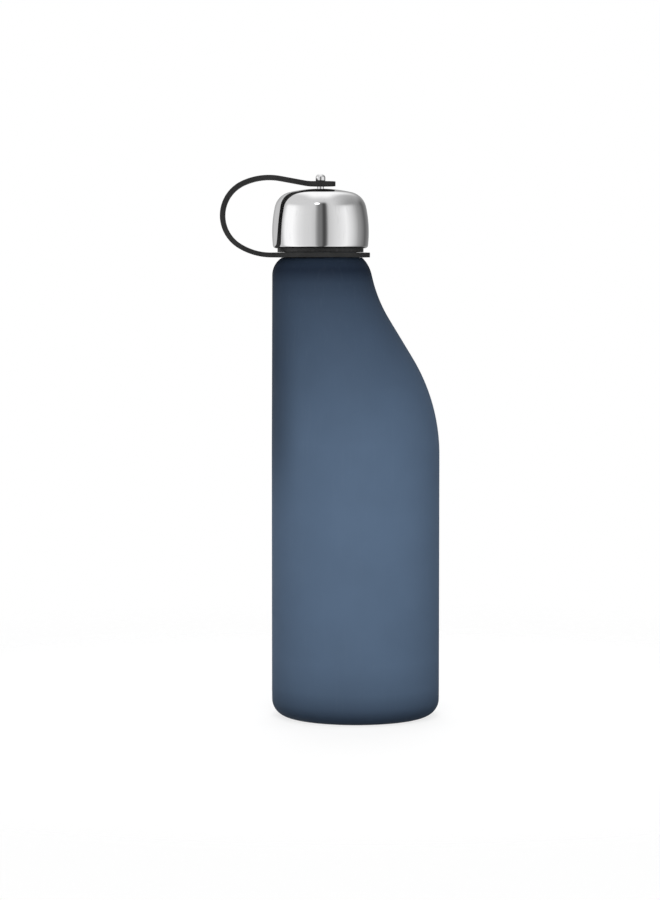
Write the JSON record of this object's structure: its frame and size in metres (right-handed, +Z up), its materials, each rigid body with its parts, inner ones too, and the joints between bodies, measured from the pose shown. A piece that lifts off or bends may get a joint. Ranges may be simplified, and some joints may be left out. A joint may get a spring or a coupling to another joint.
{
  "type": "water bottle",
  "caption": "Frosted plastic drinking bottle with an off-centre neck, domed steel screw lid and a silicone carrying strap.",
  "frame": {"origin": "middle of the foot, on the axis of the round body, at the surface that the bottle stands on", "axes": "+Z up along the body; +X towards the sloping side of the shoulder, away from the neck; +Y to the back, across the body"},
  "size_m": [0.0913, 0.07, 0.2261],
  "materials": {
    "frosted_plastic": "fine satin, frosted blue",
    "polished_steel": "mirror polished stainless steel",
    "black_plastic": "satin moulded black",
    "seal_silicone": "matt translucent white silicone",
    "spring_steel": "plain stainless",
    "strap_silicone": "matt charcoal silicone"
  },
  "bodies": {
    "bottle": {"bottle_body": "frosted_plastic"},
    "strap": {"strap_loop": "strap_silicone"},
    "strap_end": {"strap_eye": "strap_silicone"},
    "knob": {"knob": "polished_steel", "knob_washer": "spring_steel", "knob_clip": "spring_steel"},
    "lid": {"lid_shell": "polished_steel", "lid_insert": "black_plastic", "lid_seal": "seal_silicone", "knob_bush": "black_plastic"}
  },
  "joints": [
    {"name": "strap_swivel", "type": "hinge", "parent": "bottle", "child": "strap", "pos_m": [-0.01466, 0, 0.1927], "axis": [0, 0, 1], "continuous": true},
    {"name": "eye_lift", "type": "slide", "parent": "strap", "child": "strap_end", "axis": [0, 0, 1], "range_m": [0, 0.0201]},
    {"name": "lid_lift", "type": "slide", "parent": "bottle", "child": "knob", "axis": [0, 0, 1], "range_m": [0, 0.0201]},
    {"name": "lid_turn", "type": "hinge", "parent": "knob", "child": "lid", "pos_m": [-0.01466, 0, 0.2], "axis": [0, 0, 1], "range_deg": [0, 900]}
  ],
  "couplings": [
    {"joint": "lid_lift", "follows": "lid_turn", "m_per_rad": 0.0012732},
    {"joint": "eye_lift", "follows": "lid_turn", "m_per_rad": 0.0012732}
  ]
}
